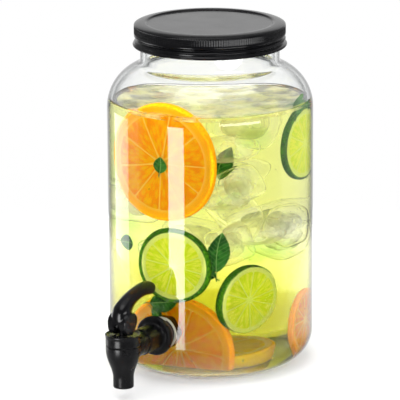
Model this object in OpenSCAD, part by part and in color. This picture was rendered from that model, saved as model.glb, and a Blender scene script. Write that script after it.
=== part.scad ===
// Glass beverage dispenser: a one-gallon jar with a screw lid and a lever tap.
// The jar stands on Z = 0 about the Z axis, and the tap points to -Y. Millimetres.

/* [Jar] */
// Height of the closed dispenser, from its foot to the top of the lid
total_h = 262; // [250:1:280]
// Radius of the jar's straight wall
jar_r = 78; // [76:0.5:82]
// Thickness of the glass wall
glass_t = 3.5; // [3:0.1:4]
// Thickness of the glass floor
floor_t = 7; // [6:0.5:9]
// Radius of the rounded heel, between foot and wall
heel_r = 24; // [22:0.5:25]
// Radius of the rounded shoulder, between wall and neck
shoulder_r = 34.6; // [33:0.2:36]
// Height at which the shoulder starts
shoulder_z = 197; // [190:1:205]
// Outer radius of the neck
neck_r = 52.6; // [52:0.1:53]
// Outer radius of the glass thread
thread_r = 54.6; // [54:0.1:55]

/* [Lid] */
// Outer radius of the lid's wall
lid_r = 57.2; // [56.8:0.1:58]
// Height of the lid
lid_h = 17.8; // [17:0.1:20]
// Thickness of the lid's sheet metal
sheet_t = 0.6; // [0.5:0.1:0.8]
// Radius of the rolled hem's curl
hem_curl_r = 1.1; // [1:0.1:1.3]
// Radius of the sunken panel in the lid's top
panel_r = 47.2; // [44:0.1:48]
// Depth of the sunken panel
panel_drop = 1.2; // [0.8:0.1:1.2]
// Thickness of the sealing liner
liner_t = 1.2; // [1:0.1:1.5]
// Rise of the lid in one turn
thread_pitch = 5.08; // [4.9:0.01:5.4]

/* [Tap] */
// Distance from the jar's axis to the tap's upright axis
tap_reach = 126; // [124:0.5:130]
// Height of the tap's shank above the foot
tap_h = 37; // [36:0.5:42]
// Outer radius of the bonnet and the top of the barrel
barrel_r = 13; // [12.8:0.1:14]
// Outer radius of the spout
spout_r = 7.7; // [7.6:0.1:8]
// Radius of the spout's bore
outlet_r = 6.2; // [5.5:0.1:6.4]
// Outer radius of the flange that faces the jar
flange_r = 15; // [14:0.5:16]
// Outer radius of the shank's thread
shank_r = 7.9; // [7.5:0.1:8]
// Radius of the valve stem
stem_r = 3; // [2.6:0.1:3.1]
// Height of the lever's pin above the bonnet
pin_h = 6.2; // [6:0.1:6.6]
// Radius of the lever's pin
pin_r = 1.5; // [1.2:0.1:1.6]
// Lift of the valve stem for each radian of lever travel
cam_lift = 2.2; // [1.8:0.1:2.4]

/* [Hidden] */

$fn = 96;
eps = 0.5;         // overrun of a cut past the face it opens
fit = 0.05;        // radial clearance of a running fit
seal_gap = 0.1;    // clearance at a seal that opens

// Jar and lid heights
mouth_r = neck_r - glass_t;
lid_z = total_h - lid_h;
jar_top = total_h - sheet_t - liner_t - seal_gap;
foot_r = jar_r - heel_r;
push_up = 2.5;     // hollow under the floor
thread_z = lid_z + 4.9;
lid_bead_z = thread_z - thread_pitch / 2;

// Distances along the shank from the tap's upright axis towards the jar
wall_s = tap_reach - jar_r;
collar_s = 23.3;
nose_end_s = 35;
flange_s = wall_s - 6.5;
flange_back_s = wall_s - 2.3;
washer_end_s = wall_s + glass_t + 3.3;
nut_s = washer_end_s + 1.2;
nut_end_s = nut_s + 8;
shank_end_s = nut_end_s + 6;
o_ring_s = 28;
snap_s = 33;

// Radii along the shank
boss_r = 9.3;
collar_r = 10;
nose_r = 7.4;
inlet_r = 4.5;
tap_hole_r = shank_r + 0.35;

// Heights in the tap's own frame, from the shank's axis
spout_z = -28;
spout_top_z = -20.4;
seat_z = -10;
seam_z = 4.2;
barrel_top_z = 8.4;
gasket_t = 1;
plate_z = barrel_top_z + gasket_t;
bonnet_z = 12.2;
pin_z = bonnet_z + pin_h;
cup_top_z = -6;
collar_top_z = -4.5;
spring_top_z = plate_z - 0.8;

chamber_r = 9;
bonnet_thread_r = 10.6;
spring_r = 4.9;
wire_r = 0.45;
lever_w = 16;
pin_length = lever_w - 2;
slot_w = 2 * stem_r + 0.4;

BLACK = [0.07, 0.07, 0.08];
RUBBER = [0.16, 0.16, 0.17];
STEEL = [0.75, 0.76, 0.78];
WHITE = [0.93, 0.93, 0.9];

// ---------- shared shapes ----------

module at_tap() {
    translate([0, -tap_reach, tap_h]) children();
}

// A rod along the shank's axis, in the tap's frame
module rod(from_s, to_s, r) {
    translate([0, from_s, 0]) rotate([-90, 0, 0]) cylinder(r = r, h = to_s - from_s);
}

// A rod along X through the lever's pin, in the tap's frame
module cross_rod(length, r) {
    translate([-length / 2, 0, pin_z]) rotate([0, 90, 0]) cylinder(r = r, h = length);
}

module tube(from_s, to_s, outer, inner) {
    difference() {
        rod(from_s, to_s, outer);
        rod(from_s - eps, to_s + eps, inner);
    }
}

module upright_ring(from_z, to_z, outer, inner) {
    translate([0, 0, from_z]) difference() {
        cylinder(r = outer, h = to_z - from_z);
        translate([0, 0, -eps]) cylinder(r = inner, h = to_z - from_z + 2 * eps);
    }
}

module torus(r, wire) {
    rotate_extrude() translate([r, 0]) circle(r = wire, $fn = 32);
}

// Faces of a tube that joins rings of points, closed by a cap at each end
function swept_faces(rings, sides) = concat(
    [[for (j = [sides - 1:-1:0]) j]],
    [for (i = [0:rings - 2], j = [0:sides - 1]) let (k = (j + 1) % sides)
        [i * sides + j, i * sides + k, (i + 1) * sides + k, (i + 1) * sides + j]],
    [[for (j = [0:sides - 1]) (rings - 1) * sides + j]]
);

// A helical thread bead. Its crest rises from root to crest over the first and last sixth of a turn.
module thread_bead(root, crest, turns, root_w, crest_w) {
    per_turn = 48;
    steps = turns * per_turn;
    fade = per_turn / 6;
    out = crest > root;
    points = [for (i = [0:steps])
        let (a = 360 * i / per_turn,
             z = thread_pitch * i / per_turn,
             r = root + (crest - root) * max(0.05, min(1, i / fade, (steps - i) / fade)),
             w = out ? 1 : -1)
        for (p = [[root, -w * root_w], [r, -w * crest_w], [r, w * crest_w], [root, w * root_w]])
            [p.x * cos(a), p.x * sin(a), z + p.y / 2]];
    polyhedron(points, swept_faces(steps + 1, 4), convexity = 6);
}

// ---------- jar ----------

// Half section of the jar's outer form, drawn in by inset, from floor_z up to top_z
module jar_form(inset, floor_z, top_z) {
    heel = heel_r - inset;
    translate([foot_r, floor_z + heel]) circle(r = heel);
    translate([0, floor_z]) square([foot_r, heel]);
    translate([0, floor_z + heel]) square([jar_r - inset, shoulder_z - floor_z - heel]);
    translate([jar_r - shoulder_r, shoulder_z]) circle(r = shoulder_r - inset);
    translate([0, shoulder_z]) square([neck_r - inset, top_z - shoulder_z]);
}

module glass_jar() {
    lip_r = glass_t / 2;
    color([0.8, 0.88, 0.86, 0.4]) difference() {
        union() {
            rotate_extrude() difference() {
                union() {
                    jar_form(0, 0, jar_top - lip_r);
                    translate([neck_r - lip_r, jar_top - lip_r]) circle(r = lip_r, $fn = 32);
                }
                jar_form(glass_t, floor_t, jar_top + eps);
            }
            translate([0, 0, thread_z]) thread_bead(neck_r - 0.5, thread_r, 1.5, 3, 1.2);
        }
        translate([0, 0, -eps]) cylinder(r1 = foot_r - 4 + eps, r2 = foot_r - 10, h = push_up + eps);
        at_tap() rod(wall_s - eps, wall_s + 3 * glass_t, tap_hole_r);
    }
}

// ---------- lid ----------

module lid_section() {
    edge_r = 1.6;
    inner_r = lid_r - sheet_t;
    rim_r = panel_r + 2.4;
    difference() {
        union() {
            square([lid_r, lid_h - edge_r]);
            square([lid_r - edge_r, lid_h]);
            translate([lid_r - edge_r, lid_h - edge_r]) circle(r = edge_r, $fn = 32);
        }
        translate([0, -eps]) square([inner_r, lid_h - edge_r + eps]);
        square([lid_r - edge_r, lid_h - sheet_t]);
        translate([lid_r - edge_r, lid_h - edge_r]) circle(r = edge_r - sheet_t, $fn = 32);
        square([rim_r, lid_h + eps]);
    }
    polygon([
        [0, lid_h - panel_drop - sheet_t], [panel_r, lid_h - panel_drop - sheet_t],
        [rim_r, lid_h - sheet_t], [rim_r, lid_h], [panel_r, lid_h - panel_drop],
        [0, lid_h - panel_drop]
    ]);
    translate([lid_r - 0.1, hem_curl_r]) difference() {
        circle(r = hem_curl_r, $fn = 32);
        circle(r = hem_curl_r - sheet_t / 2, $fn = 32);
    }
}

module lid_shell() {
    color(BLACK) union() {
        translate([0, 0, lid_z]) rotate_extrude() lid_section();
        translate([0, 0, lid_bead_z]) thread_bead(lid_r - sheet_t / 2, neck_r + 1.2, 1.25, 2.4, 1);
    }
}

module lid_liner() {
    color(WHITE)
        upright_ring(jar_top + seal_gap, total_h - sheet_t, lid_r - 1.6, panel_r + 2.6);
}

// ---------- tap body ----------

// Outer radius of the barrel at a share t of the way from its seam down to the spout
function barrel_at(t) = spout_r + (barrel_r - spout_r) * (1 + cos(180 * pow(t, 1.25))) / 2;

module spigot_body() {
    steps = 12;
    barrel = [for (i = [0:steps]) [barrel_at(i / steps), seam_z + (spout_top_z - seam_z) * i / steps]];
    color(BLACK) at_tap() difference() {
        union() {
            rotate_extrude() polygon(concat([[0, seam_z]], barrel, [[spout_r, spout_z], [0, spout_z]]));
            cylinder(r = bonnet_thread_r, h = barrel_top_z);
            difference() {
                rod(0, collar_s - 0.3, boss_r);
                translate([0, 0, seam_z]) cylinder(r = barrel_r + 0.3, h = boss_r);
            }
            rod(collar_s - eps, nose_end_s, nose_r);
        }
        translate([0, 0, seat_z]) cylinder(r = chamber_r, h = barrel_top_z - seat_z + eps);
        translate([0, 0, spout_z - eps]) cylinder(r = outlet_r, h = seat_z - spout_z + 2 * eps);
        rod(0, nose_end_s + eps, inlet_r);
        tube(o_ring_s - 1, o_ring_s + 1, nose_r + eps, nose_r - 1.4);
        tube(snap_s - 0.7, snap_s + 0.7, nose_r + eps, nose_r - 0.7);
    }
}

module spigot_shank() {
    round_r = 1.2;
    color(BLACK) at_tap() difference() {
        union() {
            rod(collar_s, flange_s + eps, collar_r);
            rod(flange_s + round_r, flange_back_s, flange_r);
            translate([0, flange_s, 0]) rotate([-90, 0, 0])
                cylinder(r1 = flange_r - round_r, r2 = flange_r, h = round_r);
            rod(flange_back_s - eps, shank_end_s, shank_r);
        }
        rod(collar_s - eps, nose_end_s + 0.2, nose_r + 0.1);
        rod(collar_s, shank_end_s + eps, inlet_r);
        tube(snap_s - 0.7, snap_s + 0.7, nose_r + 0.7, nose_r - eps);
    }
}

module shank_o_ring() {
    color(RUBBER) at_tap() translate([0, o_ring_s, 0]) rotate([-90, 0, 0]) torus(nose_r - 0.68, 0.7);
}

module retaining_ring() {
    gap_angle = 24;
    color(STEEL) at_tap() translate([0, snap_s, 0]) rotate([-90, gap_angle / 2, 0])
        rotate_extrude(angle = 360 - gap_angle) translate([nose_r + 0.02, 0]) circle(r = 0.6, $fn = 24);
}

// ---------- fastening to the jar ----------

module outer_washer() {
    color(RUBBER) difference() {
        at_tap() tube(flange_back_s, wall_s + 3, flange_r - 2, shank_r + 0.1);
        cylinder(r = jar_r, h = 2 * tap_h, $fn = 720);
    }
}

module inner_washer() {
    color(RUBBER) intersection() {
        at_tap() tube(wall_s, washer_end_s, flange_r - 3.5, shank_r + 0.1);
        cylinder(r = jar_r - glass_t - seal_gap, h = 2 * tap_h, $fn = 720);
    }
}

module slip_washer() {
    color(WHITE) at_tap() tube(washer_end_s, nut_s, flange_r - 2.2, shank_r + 0.15);
}

module lock_nut() {
    across_flats = 24;
    face_h = 1.4;
    color(BLACK) at_tap() difference() {
        union() {
            rod(nut_s, nut_s + face_h, flange_r - 2);
            translate([0, nut_s, 0]) rotate([-90, 0, 0]) intersection() {
                cylinder(r = across_flats / sqrt(3), h = nut_end_s - nut_s, $fn = 6);
                cylinder(r = across_flats / 2 + 1.2, h = nut_end_s - nut_s);
            }
        }
        rod(nut_s - eps, nut_end_s + eps, shank_r + 0.1);
    }
}

// ---------- bonnet and valve ----------

module bonnet() {
    rim_h = 0.8;
    rim_w = 1.3;
    edge = 0.6;
    color(BLACK) at_tap() difference() {
        union() {
            translate([0, 0, seam_z + 0.2]) cylinder(r = barrel_r, h = bonnet_z - seam_z - 0.2);
            translate([0, 0, bonnet_z]) cylinder(r1 = barrel_r, r2 = barrel_r - edge, h = rim_h);
        }
        translate([0, 0, bonnet_z]) cylinder(r = barrel_r - rim_w, h = rim_h + eps);
        translate([0, 0, seam_z]) cylinder(r = bonnet_thread_r + 0.1, h = plate_z - seam_z);
        translate([0, 0, plate_z - eps]) cylinder(r = stem_r + 2, h = 1.6 + eps);
        translate([0, 0, plate_z]) cylinder(r = stem_r + fit, h = bonnet_z);
    }
}

module bonnet_gasket() {
    color(RUBBER) at_tap() upright_ring(barrel_top_z, plate_z, bonnet_thread_r - 0.1, chamber_r + 0.1);
}

module stem_o_ring() {
    color(RUBBER) at_tap() translate([0, 0, plate_z + 0.8]) torus(stem_r + 0.95, 0.75);
}

module spring_washer() {
    color(STEEL) at_tap() upright_ring(spring_top_z, plate_z, 6.5, stem_r + 0.3);
}

// A wire swept along a helix, between the stem's collar and the washer
module valve_spring() {
    turns = 7;
    per_turn = 20;
    sides = 8;
    steps = turns * per_turn;
    from_z = collar_top_z + wire_r;
    rise = spring_top_z - collar_top_z - 2 * wire_r;
    points = [for (i = [0:steps])
        let (a = 360 * i / per_turn, z = from_z + rise * i / steps)
        for (j = [0:sides - 1])
            let (b = 360 * j / sides, r = spring_r + wire_r * cos(b))
            [r * cos(a), r * sin(a), z + wire_r * sin(b)]];
    color(STEEL) at_tap() polyhedron(points, swept_faces(steps + 1, sides), convexity = 10);
}

module valve_stem() {
    tail_r = 2;
    color(WHITE) at_tap() difference() {
        union() {
            translate([0, 0, cup_top_z - 3]) cylinder(r = tail_r, h = 3 + eps);
            translate([0, 0, cup_top_z]) cylinder(r = 6.2, h = collar_top_z - cup_top_z);
            translate([0, 0, cup_top_z]) cylinder(r = stem_r, h = pin_z - cup_top_z);
            cross_rod(2 * stem_r - 0.4, stem_r);
        }
        cross_rod(3 * stem_r, pin_r);
    }
}

module seat_cup() {
    color(RUBBER) at_tap() difference() {
        translate([0, 0, seat_z + seal_gap]) cylinder(r = chamber_r - 0.8, h = cup_top_z - seat_z - seal_gap);
        translate([0, 0, cup_top_z - 3]) cylinder(r = 2, h = 3 + eps);
    }
}

// ---------- lever ----------

module lever_pin() {
    color(STEEL) at_tap() cross_rod(pin_length, pin_r);
}

// Point of the cam, from the pin, that faces the bonnet once the lever has turned by an angle.
// The pin rises by cam_lift for each radian, so the cam always rests on the bonnet.
function cam_point(angle) = let (h = pin_h - seal_gap + cam_lift * angle * PI / 180)
    [-h * sin(angle) - cam_lift * cos(angle), -h * cos(angle) + cam_lift * sin(angle)];

// Side view of the lever, from the pin: cam, front, thumb tip, underside and heel
lever_side = concat(
    [for (a = [0:10:90]) cam_point(a)],
    [[-8.8, 7.8], [-6.2, 12.4], [-1, 16.2], [6.8, 19.7], [17, 22.6], [27, 24.4], [35, 25.1]],
    [for (a = [80:-20:-80]) [35.5 + 4.6 * cos(a), 20.4 + 4.6 * sin(a)]],
    [[28, 15.8], [21, 17], [14, 17.4], [8.8, 16.6], [5.4, 14.2], [4.2, 10.4]],
    [[7.4, 7], [8, 4.4], [7.2, 1.4], [4.8, -2.6], [1.6, -5.4]]
);

// A slab of the lever's side view between two distances from the pin's upright plane
module lever_slab(width, from_y, to_y, from_z, to_z) {
    translate([-width / 2, 0, pin_z]) rotate([90, 0, 90]) linear_extrude(width) intersection() {
        polygon(lever_side);
        translate([from_y, from_z]) square([to_y - from_y, to_z - from_z]);
    }
}

module lever_handle() {
    base_top = 8.6;
    slot_back = stem_r + 0.4;
    color(BLACK) at_tap() difference() {
        union() {
            lever_slab(lever_w, -20, 20, -20, base_top);
            lever_slab(10, -20, 22, 0, 40);
            lever_slab(12, 17, 60, 0, 40);
        }
        translate([-slot_w / 2, -20, pin_z - 20]) cube([slot_w, 20 + slot_back, 20 + slot_back]);
        cross_rod(pin_length + 0.4, pin_r + fit);
    }
}

glass_jar();
lid_shell();
lid_liner();
spigot_body();
spigot_shank();
shank_o_ring();
retaining_ring();
outer_washer();
inner_washer();
slip_washer();
lock_nut();
bonnet();
bonnet_gasket();
stem_o_ring();
spring_washer();
valve_spring();
valve_stem();
seat_cup();
lever_pin();
lever_handle();
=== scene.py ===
"""The looks of a glass beverage dispenser: jar, screw lid, lever tap, and the drink in it.

Lengths are in millimetres until a mesh is built, and +Z is up. The jar's axis is the Z axis.
"""

import math
import random

import bmesh
import bpy
import numpy as np
from mathutils import Matrix, Vector


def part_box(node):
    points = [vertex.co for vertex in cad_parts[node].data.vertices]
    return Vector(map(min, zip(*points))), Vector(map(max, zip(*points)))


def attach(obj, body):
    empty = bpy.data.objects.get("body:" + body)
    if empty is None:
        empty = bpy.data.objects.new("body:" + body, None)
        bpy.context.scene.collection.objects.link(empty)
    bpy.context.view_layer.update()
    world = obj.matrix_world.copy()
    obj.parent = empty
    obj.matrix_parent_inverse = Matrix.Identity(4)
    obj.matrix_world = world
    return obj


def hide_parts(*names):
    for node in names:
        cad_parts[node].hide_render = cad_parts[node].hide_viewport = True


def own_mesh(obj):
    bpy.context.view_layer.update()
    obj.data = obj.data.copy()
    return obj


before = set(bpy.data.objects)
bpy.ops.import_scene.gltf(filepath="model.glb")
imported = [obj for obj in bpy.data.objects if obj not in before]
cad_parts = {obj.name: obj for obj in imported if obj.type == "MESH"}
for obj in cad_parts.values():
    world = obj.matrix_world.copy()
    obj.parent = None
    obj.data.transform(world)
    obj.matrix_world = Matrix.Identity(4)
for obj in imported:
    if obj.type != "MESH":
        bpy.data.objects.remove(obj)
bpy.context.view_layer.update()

MM = 0.001


def node_box(name):
    """Lowest and highest corner of a CAD node, in millimetres."""
    low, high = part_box(name)
    return low / MM, high / MM


# ---------- sizes ----------

jar_high = node_box("glass_jar")[1]
lid_low, lid_high = node_box("lid_shell")
bonnet_low, bonnet_high = node_box("bonnet")
shank_low, shank_high = node_box("spigot_shank")
spigot_low, spigot_high = node_box("spigot_body")
pin_low, pin_high = node_box("lever_pin")
spring_low, spring_high = node_box("valve_spring")

JAR_R = jar_high.x
JAR_TOP = jar_high.z
GLASS = 3.5
FLOOR = 7.0
FLOOR_CROWN = 1.2
HEEL_R = 24.0
SHOULDER_R = 34.6
SHOULDER_Z = 197.0
NECK_R = 52.6
NECK_FILLET = 4.0
THREAD_R = 54.4
THREAD_TURNS = 1.5
PITCH = 5.08
TAP_HOLE_R = 8.25
DRINK_LEVEL = 203.5

LID_TOP = lid_high.z
LID_Z = lid_low.z
LID_R = 57.2
HEM_R = lid_high.x
CURL_R = 1.1
PANEL_DROP = 1.2
SHEET = 0.5

TAP_REACH = -(bonnet_low.y + bonnet_high.y) / 2
TAP_Z = (shank_low.z + shank_high.z) / 2
PIN_Z = (pin_low.z + pin_high.z) / 2
BARREL_R = (bonnet_high.x - bonnet_low.x) / 2
SPOUT_R = 7.7
OUTLET_R = 6.2
SHANK_R = 7.9
SHANK_BORE_R = 4.5
FLANGE_R = 15

GLASS_IOR = 1.5
DRINK_IOR = 1.333
ICE_IOR = 1.31
BUBBLE_IOR = 0.75
# Of fruit against the drink it lies in
WET_IOR = 1.09

# Where the camera stands, seen from above, measured from the tap's side of the jar
VIEW_AZIMUTH = math.radians(31)
# The level direction in which the camera looks
AWAY = (-math.sin(VIEW_AZIMUTH), math.cos(VIEW_AZIMUTH), 0)

# A quarter turn about X, which lays something that stands about Z along Y
LAID = Matrix.Rotation(math.pi / 2, 4, "X")

# ---------- mesh helpers ----------


def link(obj):
    bpy.context.scene.collection.objects.link(obj)
    return obj


def build(name, points, faces, unit=MM):
    """A smooth mesh object from points, with its normals pointing out."""
    mesh = bpy.data.meshes.new(name)
    mesh.from_pydata((np.asarray(points, float) * unit).tolist(), [], faces)
    form = bmesh.new()
    form.from_mesh(mesh)
    bmesh.ops.remove_doubles(form, verts=form.verts, dist=unit * 1e-4)
    bmesh.ops.dissolve_degenerate(form, edges=form.edges, dist=unit * 1e-4)
    bmesh.ops.recalc_face_normals(form, faces=form.faces)
    form.to_mesh(mesh)
    form.free()
    mesh.shade_smooth()
    return link(bpy.data.objects.new(name, mesh))


def grid_faces(rows, columns, close_rows=False, close_columns=True):
    """Quads of a grid of points held row by row."""
    faces = []
    for i in range(rows if close_rows else rows - 1):
        for j in range(columns if close_columns else columns - 1):
            k, m = (i + 1) % rows, (j + 1) % columns
            faces.append((i * columns + j, i * columns + m, k * columns + m, k * columns + j))
    return faces


def lathe(name, section, steps, reshape=None, closed=False):
    """Turns a section of (r, z) points about Z. reshape(r, z, angle) gives the radius at each point."""
    r, z = (np.repeat(np.array(values, float)[:, None], steps, axis=1) for values in zip(*section))
    angle = np.linspace(0, math.tau, steps, endpoint=False)[None, :]
    if reshape:
        r = reshape(r, z, angle)
    points = np.stack([r * np.cos(angle), r * np.sin(angle), z], axis=-1).reshape(-1, 3)
    return build(name, points, grid_faces(len(section), steps, close_rows=closed))


def arc(centre, radius, start, end, steps):
    """Points on an arc of a section, by angles in degrees from +r towards +z."""
    angles = np.radians(np.linspace(start, end, steps + 1))
    return [(centre[0] + radius * math.cos(a), centre[1] + radius * math.sin(a)) for a in angles]


def line(start, end, steps):
    """Points on a straight stretch of a section, without its last one."""
    return [tuple(p) for p in np.linspace(start, end, steps, endpoint=False)]


def spline(knots, steps):
    """A smooth run of rows through knots, each knot a tuple of numbers."""
    knots = np.array(knots, float)
    ends = np.vstack([2 * knots[0] - knots[1], knots, 2 * knots[-1] - knots[-2]])
    rows = []
    for a, b, c, d in zip(ends, ends[1:], ends[2:], ends[3:]):
        t = np.linspace(0, 1, steps, endpoint=False)[:, None]
        rows.append(b + t * (c - a + t * (2 * a - 5 * b + 4 * c - d + t * (3 * b - a - 3 * c + d))) / 2)
    return np.vstack([*rows, knots[-1:]])


def sweep(name, path, across, up, exponent=2.0, sides=40):
    """A closed bar along a path of 3-D points, with its half sizes along X and upwards at each."""
    path = np.asarray(path, float)
    along = np.gradient(path, axis=0)
    along /= np.linalg.norm(along, axis=1)[:, None]
    side = np.array([1.0, 0, 0])
    rise = np.cross(side, along)
    angle = np.linspace(0, math.tau, sides, endpoint=False)
    c, s = np.cos(angle), np.sin(angle)
    c, s = np.sign(c) * np.abs(c) ** (2 / exponent), np.sign(s) * np.abs(s) ** (2 / exponent)
    rows = [p + np.outer(c * w, side) + np.outer(s * h, r) for p, w, h, r in zip(path, across, up, rise)]
    caps = [np.repeat(path[:1], sides, 0), np.repeat(path[-1:], sides, 0)]
    points = np.vstack([caps[0], *rows, caps[1]])
    return build(name, points, grid_faces(len(rows) + 2, sides))


def smoothstep(low, high, x):
    t = np.clip((x - low) / (high - low), 0, 1)
    return t * t * (3 - 2 * t)


def placed(obj, matrix):
    """Moves a mesh's own points by a matrix whose lengths are in millimetres."""
    moved = matrix.copy()
    moved.translation = moved.translation * MM
    obj.data.transform(moved)
    obj.data.update()
    return obj


def along_shank(obj, start):
    """Lays a piece turned about Z along the tap's shank, its Z = 0 at start from the barrel's axis."""
    turn = Matrix.Rotation(math.radians(-90), 4, "X")
    return placed(obj, Matrix.Translation((0, start - TAP_REACH, TAP_Z)) @ turn)


def apply_modifiers(obj):
    """Replaces the mesh by what its modifiers make of it."""
    graph = bpy.context.evaluated_depsgraph_get()
    graph.update()
    mesh = bpy.data.meshes.new_from_object(obj.evaluated_get(graph), depsgraph=graph)
    obj.modifiers.clear()
    old, obj.data = obj.data, mesh
    mesh.name = obj.name
    bpy.data.meshes.remove(old)
    mesh.shade_smooth()
    return obj


def join(name, parts):
    """One mesh that holds the points and faces of several, which are removed."""
    form = bmesh.new()
    for part in parts:
        form.from_mesh(part.data)
        bpy.data.objects.remove(part)
    mesh = bpy.data.meshes.new(name)
    form.to_mesh(mesh)
    form.free()
    return link(bpy.data.objects.new(name, mesh))


def cut(obj, tools):
    """Takes each tool's solid out of obj, and removes the tools."""
    for tool in tools:
        knife = obj.modifiers.new("cut", "BOOLEAN")
        knife.operation = "DIFFERENCE"
        knife.solver = "EXACT"
        knife.object = tool
    apply_modifiers(obj)
    for tool in tools:
        bpy.data.objects.remove(tool)


def melt(obj, voxel, rounds):
    """Fuses overlapping solids into one skin and softens its edges, as a moulding's are."""
    skin = obj.modifiers.new("skin", "REMESH")
    skin.mode = "VOXEL"
    skin.voxel_size = voxel * MM
    soften = obj.modifiers.new("soften", "SMOOTH")
    soften.factor = 0.5
    soften.iterations = rounds
    return apply_modifiers(obj)


def prism(outline, low, high):
    """A flat outline of (y, z) points with thickness along X, as stock for fusing and cutting."""
    points = [(x, y, z) for x in (low, high) for y, z in outline]
    n = len(outline)
    faces = grid_faces(2, n) + [tuple(range(n)), tuple(range(n, 2 * n))]
    return build("prism", points, faces)


def rod(radius, start, end, steps=64):
    """A plain round bar about Z, as stock for fusing and cutting."""
    return lathe("rod", [(0, start), (radius, start), (radius, end), (0, end)], steps)


def finished(obj, body, material, replaces=()):
    """Gives a piece its material, and tells the frame what it rides on and stands for."""
    obj.data.materials.clear()
    obj.data.materials.append(material)
    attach(obj, body)
    if replaces:
        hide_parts(*replaces)


# ---------- material helpers ----------


def add(tree, kind, inputs=None, **settings):
    """A shader node. An input is a plain value or another node's socket."""
    node = tree.nodes.new("ShaderNode" + kind)
    for name, value in settings.items():
        setattr(node, name, value)
    for name, value in (inputs or {}).items():
        if isinstance(value, bpy.types.NodeSocket):
            tree.links.new(value, node.inputs[name])
        else:
            node.inputs[name].default_value = value
    return node


def maths(tree, operation, *values):
    return add(tree, "Math", dict(enumerate(values)), operation=operation).outputs[0]


def times(tree, first, second):
    return maths(tree, "MULTIPLY", first, second)


def plus(tree, first, second):
    return maths(tree, "ADD", first, second)


def minus(tree, first, second):
    return maths(tree, "SUBTRACT", first, second)


def ramp(tree, value, low, high, to_low=0.0, to_high=1.0):
    """value mapped smoothly from low..high to to_low..to_high."""
    inputs = {"Value": value, "From Min": low, "From Max": high, "To Min": to_low, "To Max": to_high}
    return add(tree, "MapRange", inputs, interpolation_type="SMOOTHSTEP").outputs["Result"]


def blended(tree, share, first, second):
    """A colour between two, by a share from 0 to 1."""
    node = add(tree, "Mix", data_type="RGBA")
    for socket, value in ((node.inputs[0], share), (node.inputs[6], first), (node.inputs[7], second)):
        if isinstance(value, bpy.types.NodeSocket):
            tree.links.new(value, socket)
        else:
            socket.default_value = value if isinstance(value, float) else (*value, 1)
    return node.outputs[2]


def noise(tree, coords, scale, detail=3.0, roughness=0.5):
    inputs = {"Vector": coords, "Scale": scale, "Detail": detail, "Roughness": roughness}
    return add(tree, "TexNoise", inputs).outputs["Fac"]


def bump(tree, height, distance, strength=1.0, normal=None):
    inputs = {"Height": height, "Distance": distance, "Strength": strength}
    if normal:
        inputs["Normal"] = normal
    return add(tree, "Bump", inputs).outputs["Normal"]


def new_material(name):
    """A material with nothing but its output. Returns material and tree."""
    material = bpy.data.materials.new(name)
    material.use_nodes = True
    tree = material.node_tree
    tree.nodes.clear()
    add(tree, "OutputMaterial")
    return material, tree


def to_output(node, socket="Surface"):
    tree = node.id_data
    tree.links.new(node.outputs[0], tree.nodes["Material Output"].inputs[socket])


def surface(name, inputs=None):
    """A material with one Principled shader. Returns material, tree, shader and Object coordinates."""
    material, tree = new_material(name)
    shader = add(tree, "BsdfPrincipled", inputs)
    to_output(shader)
    return material, tree, shader, add(tree, "TexCoord").outputs["Object"]


def clear_surface(name, ior):
    """What surface returns, for something that is seen through."""
    inputs = {"Base Color": (1, 1, 1, 1), "Roughness": 0.0, "IOR": ior, "Transmission Weight": 1.0}
    return surface(name, inputs)


def set_input(shader, name, socket):
    shader.id_data.links.new(socket, shader.inputs[name])


def absorb(tree, colour, density):
    """Tints what is seen through a material by how much of it the light crosses."""
    to_output(add(tree, "VolumeAbsorption", {"Color": colour, "Density": density}), "Volume")


def mixed(share, first, second):
    """A shader between two, by a share from 0 to 1."""
    return add(first.id_data, "MixShader", {0: share, 1: first.outputs[0], 2: second.outputs[0]})


# ---------- materials ----------

# Between these two the blacks of lid and tap vary
BLACKS = (0.0008, 0.0008, 0.001), (0.002, 0.002, 0.0023)


def plastic_material(name, dark, light, rough, grain):
    """Moulded plastic: faint clouding of its colour and gloss, over a fine moulded grain."""
    material, tree, shader, coords = surface(name, {"IOR": 1.5, "Specular IOR Level": 0.28})
    cloud = noise(tree, coords, 90, 4)
    set_input(shader, "Base Color", blended(tree, cloud, dark, light))
    set_input(shader, "Roughness", ramp(tree, cloud, 0.3, 0.7, rough[0], rough[1]))
    fine = noise(tree, coords, 1800, 2)
    swell = bump(tree, noise(tree, coords, 160, 2), 0.0004, 0.25)
    set_input(shader, "Normal", bump(tree, fine, 0.00002, grain, swell))
    return material


def rubber_material():
    material, tree, shader, coords = surface("rubber", {"IOR": 1.45})
    dust = noise(tree, coords, 260, 5, 0.65)
    set_input(shader, "Base Color", blended(tree, dust, (0.018, 0.018, 0.018), (0.045, 0.044, 0.042)))
    set_input(shader, "Roughness", ramp(tree, dust, 0.3, 0.7, 0.6, 0.8))
    set_input(shader, "Normal", bump(tree, noise(tree, coords, 1400, 3), 0.00004, 0.5))
    return material


def steel_material():
    """Drawn stainless wire and stamped washers: fine scratches and a slight tint."""
    material, tree, shader, coords = surface("steel", {"Metallic": 1.0})
    scratch = noise(tree, add(tree, "Mapping", {"Vector": coords, "Scale": (1, 1, 14)}).outputs[0], 500, 4)
    set_input(shader, "Base Color", blended(tree, scratch, (0.55, 0.56, 0.57), (0.72, 0.72, 0.71)))
    set_input(shader, "Roughness", ramp(tree, scratch, 0.25, 0.75, 0.22, 0.42))
    return material


def liner_material():
    """Soft white foam: tiny cells and a faint yellowing."""
    material, tree, shader, coords = surface("liner_foam", {"Roughness": 0.75})
    cells = add(tree, "TexVoronoi", {"Vector": coords, "Scale": 1500.0}).outputs["Distance"]
    age = noise(tree, coords, 40, 3)
    set_input(shader, "Base Color", blended(tree, age, (0.8, 0.8, 0.77), (0.72, 0.71, 0.64)))
    set_input(shader, "Normal", bump(tree, cells, 0.0001, 0.4))
    return material


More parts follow.
